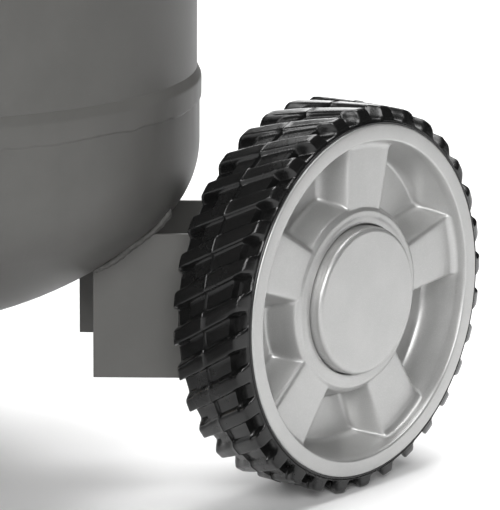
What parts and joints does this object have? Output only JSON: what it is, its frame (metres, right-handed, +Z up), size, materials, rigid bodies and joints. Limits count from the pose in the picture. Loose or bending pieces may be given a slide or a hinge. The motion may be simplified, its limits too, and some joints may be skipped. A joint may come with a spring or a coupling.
{
  "type": "air compressor",
  "caption": "Upright portable air compressor: painted steel tank on wheels and a front foot, covered direct-drive pump, and regulator, gauges and hose coupler on top.",
  "frame": {"origin": "on the floor under the tank's axis, which is the centre of the base of the whole machine's box", "axes": "+Z up, +X to the machine's right as seen from its front, -Y the front with the controls and rubber feet, +Y the back with wheels and handle"},
  "size_m": [0.528, 0.5858, 1.206],
  "materials": {
    "tank_paint": "satin grey enamel",
    "bracket_paint": "satin grey enamel",
    "rim_silver": "satin silver-grey moulding",
    "tyre_rubber": "semi-gloss moulded rubber",
    "black_rubber": "matt",
    "zinc_steel": "zinc plated",
    "brass": "machined",
    "cast_aluminium": "die cast",
    "shroud_black": "fine spark-eroded texture",
    "laminations": "stacked steel sheet",
    "copper_wire": "enamelled copper windings",
    "switch_black": "satin",
    "knob_red": "semi-gloss",
    "dial_white": "printed dial",
    "lens_clear": "clear",
    "needle_red": "satin",
    "grip_foam": "matt"
  },
  "bodies": {
    "tank_and_frame": {"tank_shell": "tank_paint", "tank_lower_head": "tank_paint", "tank_upper_head": "tank_paint", "tank_seam_welds": "tank_paint", "right_wheel_bracket": "bracket_paint", "left_wheel_bracket": "bracket_paint", "front_foot_bracket": "bracket_paint", "pump_platform": "bracket_paint", "handle_brackets": "bracket_paint", "handle_tube": "bracket_paint", "handle_grip": "grip_foam", "axle_bolts": "zinc_steel", "axle_washers": "zinc_steel", "axle_nuts": "zinc_steel", "hex_bolts": "zinc_steel", "rubber_feet": "black_rubber", "vibration_mounts": "black_rubber", "drain_valve_body": "brass", "shroud_front": "shroud_black", "shroud_rear": "shroud_black", "shroud_screws": "zinc_steel", "motor_stator": "laminations", "motor_windings": "copper_wire", "motor_rear_bracket": "cast_aluminium", "pump_crankcase": "cast_aluminium", "motor_bearings": "zinc_steel", "cylinder": "cast_aluminium", "valve_plate": "zinc_steel", "cylinder_head": "cast_aluminium", "head_bolts": "zinc_steel", "intake_filter": "switch_black", "discharge_tube": "cast_aluminium", "check_valve": "brass", "manifold": "cast_aluminium", "pressure_switch": "switch_black", "cord_gland": "switch_black", "safety_valve_body": "brass", "regulator_body": "cast_aluminium", "gauge_cases": "switch_black", "gauge_dials": "dial_white", "gauge_lenses": "lens_clear", "coupler_body": "brass"},
    "right_wheel": {"right_wheel_rim": "rim_silver", "right_tyre": "tyre_rubber", "right_wheel_cap": "rim_silver"},
    "left_wheel": {"left_wheel_rim": "rim_silver", "left_tyre": "tyre_rubber", "left_wheel_cap": "rim_silver"},
    "pump_rotor": {"motor_rotor": "laminations", "eccentric": "laminations", "cooling_fan": "shroud_black"},
    "piston": {"connecting_rod": "cast_aluminium", "piston_seal": "black_rubber"},
    "drain_lever": {"drain_valve_lever": "zinc_steel"},
    "switch_knob": {"pressure_switch_knob": "knob_red"},
    "pressure_knob": {"regulator_knob": "switch_black"},
    "safety_stem": {"safety_valve_stem": "zinc_steel"},
    "sleeve": {"coupler_sleeve": "zinc_steel"},
    "tank_needle": {"tank_gauge_needle": "needle_red"},
    "outlet_needle": {"outlet_gauge_needle": "needle_red"}
  },
  "joints": [
    {"name": "right_wheel_spin", "type": "hinge", "parent": "tank_and_frame", "child": "right_wheel", "pos_m": [0.264, 0.169, 0.1268], "axis": [1, 0, 0], "continuous": true},
    {"name": "left_wheel_spin", "type": "hinge", "parent": "tank_and_frame", "child": "left_wheel", "pos_m": [-0.264, 0.169, 0.1268], "axis": [1, 0, 0], "continuous": true},
    {"name": "pump_rotor_spin", "type": "hinge", "parent": "tank_and_frame", "child": "pump_rotor", "pos_m": [0, 0.015, 1.086], "axis": [1, 0, 0], "continuous": true},
    {"name": "piston_stroke", "type": "slide", "parent": "tank_and_frame", "child": "piston", "axis": [0, 0, 1], "range_m": [-0.02, 0]},
    {"name": "drain_lever_turn", "type": "hinge", "parent": "tank_and_frame", "child": "drain_lever", "pos_m": [0, -0.018, 0.07612], "axis": [0, 1, 0], "range_deg": [0, 90]},
    {"name": "switch_knob_turn", "type": "hinge", "parent": "tank_and_frame", "child": "switch_knob", "pos_m": [0, -0.19, 1.051], "axis": [0, 1, 0], "range_deg": [0, 90]},
    {"name": "regulator_knob_turn", "type": "hinge", "parent": "tank_and_frame", "child": "pressure_knob", "pos_m": [0.072, -0.194, 1.03], "axis": [0, 0, 1], "range_deg": [0, 1080]},
    {"name": "safety_stem_pull", "type": "slide", "parent": "tank_and_frame", "child": "safety_stem", "axis": [0, 0, 1], "range_m": [0, 0.003], "stiffness_N_per_m": 1500},
    {"name": "coupler_sleeve_slide", "type": "slide", "parent": "tank_and_frame", "child": "sleeve", "axis": [0, 1, 0], "range_m": [0, 0.006], "stiffness_N_per_m": 500},
    {"name": "tank_needle_turn", "type": "hinge", "parent": "tank_and_frame", "child": "tank_needle", "pos_m": [-0.075, -0.193, 0.985], "axis": [0, 1, 0], "range_deg": [0, 270], "stiffness_Nm_per_rad": 0.002},
    {"name": "outlet_needle_turn", "type": "hinge", "parent": "tank_and_frame", "child": "outlet_needle", "pos_m": [0.128, -0.203, 0.985], "axis": [0, 1, 0], "range_deg": [0, 270], "stiffness_Nm_per_rad": 0.002}
  ]
}
